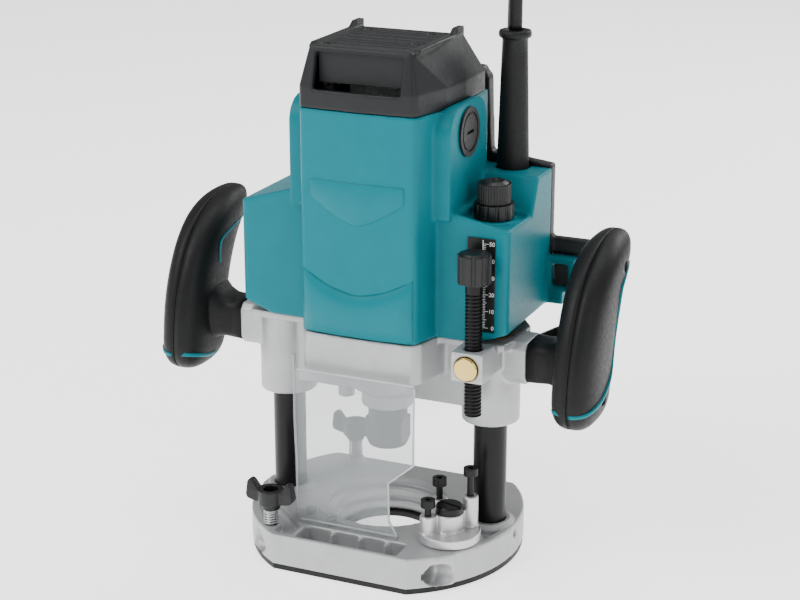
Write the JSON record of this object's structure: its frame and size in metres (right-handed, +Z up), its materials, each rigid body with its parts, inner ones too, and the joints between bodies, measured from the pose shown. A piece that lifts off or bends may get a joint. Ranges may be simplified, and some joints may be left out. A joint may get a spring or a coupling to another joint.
{
  "type": "plunge router",
  "caption": "Plunge router with teal motor housing on two guide columns, side grips, depth stop turret, clear chip deflector and mains lead.",
  "frame": {"origin": "where the spindle axis meets the underside of the sole", "axes": "+X to the right grip, -Y to the front flat, +Z up along the spindle axis"},
  "size_m": [0.2934, 0.3555, 0.38],
  "materials": {
    "sole": "smooth black sheet",
    "casting": "pale grey lacquered casting",
    "steel": "turned steel",
    "column": "black hard coat",
    "black_steel": "black oxide steel",
    "black_plastic": "moulded black plastic",
    "turret": "bright cast metal",
    "clear_plastic": "clear grey plastic",
    "bronze": "sintered bronze",
    "teal_plastic": "moulded teal plastic, satin",
    "dark_plastic": "moulded dark grey plastic",
    "lamination": "stacked electrical steel",
    "copper": "copper bars",
    "brass": "turned brass",
    "scale": "printed strip",
    "grip": "fine grained black plastic",
    "rubber": "soft black rubber",
    "cord": "black rubber sheath"
  },
  "bodies": {
    "base": {"sole_plate": "sole", "base_casting": "casting", "sole_screws": "steel", "guide_column_left": "column", "guide_column_right": "column", "column_set_screws": "steel", "limit_rod": "black_steel", "return_spring_left": "steel", "return_spring_right": "steel", "front_clamp_spring": "steel", "rear_clamp_spring": "steel", "turret_screw": "black_steel", "deflector": "clear_plastic", "deflector_screws": "steel", "cord_tube": "cord", "cord_hank": "cord", "plug": "rubber"},
    "motor": {"motor_bracket": "casting", "column_bushings": "bronze", "motor_housing": "teal_plastic", "top_cover": "dark_plastic", "top_cover_screws": "steel", "rear_cover": "dark_plastic", "brush_caps": "black_plastic", "brush_holders": "bronze", "stator": "lamination", "lower_bearing": "steel", "upper_bearing": "steel", "scale_plate": "scale", "switch_body": "dark_plastic", "grip_left_inner": "grip", "grip_left_outer": "grip", "grip_right_inner": "grip", "grip_right_outer": "grip", "grip_screws": "steel", "cord_guard": "rubber"},
    "spindle": {"spindle_shaft": "steel", "armature_core": "lamination", "commutator": "copper", "cooling_fan": "dark_plastic", "collet": "steel", "collet_nut": "black_steel"},
    "stop_pole": {"stop_pole": "column", "stop_pole_knob": "black_plastic"},
    "feed_button": {"fast_feed_button": "brass"},
    "turret": {"stop_turret": "turret", "stop_screws": "black_steel"},
    "front_clamp": {"front_clamp_knob": "black_plastic", "front_clamp_screw": "steel"},
    "rear_clamp": {"rear_clamp_knob": "black_plastic", "rear_clamp_screw": "steel"},
    "upper_nut": {"limit_nut": "black_plastic"},
    "upper_knob": {"limit_knob": "black_plastic"},
    "lever": {"lock_lever": "black_plastic"},
    "switch": {"switch_lever": "black_plastic"}
  },
  "joints": [
    {"name": "plunge", "type": "slide", "parent": "base", "child": "motor", "axis": [0, 0, 1], "range_m": [-0.06, 0], "stiffness_N_per_m": 900, "springref_m": 0.09, "deforming": ["return_spring_left", "return_spring_right"]},
    {"name": "spindle_spin", "type": "hinge", "parent": "motor", "child": "spindle", "pos_m": [0, 0, 0.07], "axis": [0, 0, 1], "continuous": true},
    {"name": "stop_pole_slide", "type": "slide", "parent": "motor", "child": "stop_pole", "axis": [0, 0, 1], "range_m": [0, 0.025]},
    {"name": "feed_button_press", "type": "slide", "parent": "motor", "child": "feed_button", "axis": [0, 1, 0], "range_m": [0, 0.0025], "stiffness_N_per_m": 500},
    {"name": "turret_turn", "type": "hinge", "parent": "base", "child": "turret", "pos_m": [0.055, -0.0347, 0.03], "axis": [0, 0, 1], "continuous": true},
    {"name": "front_clamp_turn", "type": "hinge", "parent": "base", "child": "front_clamp", "pos_m": [-0.05, -0.06, 0.03], "axis": [0, 0, 1], "continuous": true},
    {"name": "rear_clamp_turn", "type": "hinge", "parent": "base", "child": "rear_clamp", "pos_m": [-0.045, 0.049, 0.035], "axis": [0, 0, 1], "continuous": true},
    {"name": "upper_nut_turn", "type": "hinge", "parent": "base", "child": "upper_nut", "pos_m": [0.067, 0, 0.217], "axis": [0, 0, 1], "continuous": true},
    {"name": "upper_knob_turn", "type": "hinge", "parent": "base", "child": "upper_knob", "pos_m": [0.067, 0, 0.227], "axis": [0, 0, 1], "continuous": true},
    {"name": "lock_lever_turn", "type": "hinge", "parent": "motor", "child": "lever", "pos_m": [0.084, 0.025, 0.128], "axis": [0, 1, 0], "range_deg": [-15, 45]},
    {"name": "switch_press", "type": "slide", "parent": "motor", "child": "switch", "axis": [0, -1, 0], "range_m": [0, 0.0028], "stiffness_N_per_m": 600}
  ]
}
